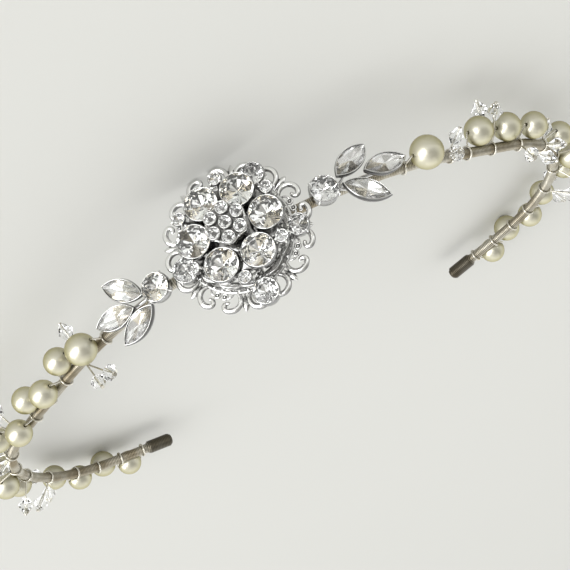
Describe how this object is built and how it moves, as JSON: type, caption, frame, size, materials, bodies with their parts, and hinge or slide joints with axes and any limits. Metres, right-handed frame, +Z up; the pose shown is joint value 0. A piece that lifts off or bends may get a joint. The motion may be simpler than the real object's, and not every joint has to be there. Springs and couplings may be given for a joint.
{
  "type": "headband",
  "caption": "Slim wire-wound metal headband with a raised stone brooch, two leaf sprays of pointed stones, and pearls and small crystals wired along both sides.",
  "frame": {"origin": "middle of the bounding box at the surface it lies on", "axes": "+X towards the band's right end, the longest way; the brooch faces -Y and the arch opens towards +Y; +Z up"},
  "size_m": [0.178, 0.1137, 0.0358],
  "materials": {
    "band": "wound wire, dull silver with dark grooves",
    "silver": "bright rhodium plate with darkened recesses",
    "wire": "bright drawn wire",
    "stone": "clear cut stone with foiled back",
    "crystal": "clear cut crystal",
    "pearl": "cream pearl lustre"
  },
  "bodies": {
    "root": {"band": "band", "brooch_setting": "silver", "gap_stones": "stone", "flower_stones": "stone", "main_stone_1": "stone", "main_stone_2": "stone", "main_stone_3": "stone", "main_stone_4": "stone", "main_stone_5": "stone", "main_stone_6": "stone", "rim_stone_1": "stone", "rim_stone_2": "stone", "rim_stone_3": "stone", "rim_stone_4": "stone", "leaf_setting_right": "silver", "leaf_round_right": "stone", "bead_wire_right": "wire", "crystals_right": "crystal", "leaf_setting_left": "silver", "leaf_round_left": "stone", "bead_wire_left": "wire", "crystals_left": "crystal", "navette_right_1": "stone", "navette_right_2": "stone", "navette_right_3": "stone", "navette_left_1": "stone", "navette_left_2": "stone", "navette_left_3": "stone", "pearl_right_1": "pearl", "pearl_right_2": "pearl", "pearl_right_3": "pearl", "pearl_right_4": "pearl", "pearl_right_5": "pearl", "pearl_right_6": "pearl", "pearl_right_7": "pearl", "pearl_right_8": "pearl", "pearl_right_9": "pearl", "pearl_right_10": "pearl", "pearl_right_11": "pearl", "pearl_right_12": "pearl", "pearl_right_13": "pearl", "pearl_left_1": "pearl", "pearl_left_2": "pearl", "pearl_left_3": "pearl", "pearl_left_4": "pearl", "pearl_left_5": "pearl", "pearl_left_6": "pearl", "pearl_left_7": "pearl", "pearl_left_8": "pearl", "pearl_left_9": "pearl", "pearl_left_10": "pearl", "pearl_left_11": "pearl"}
  },
  "joints": []
}
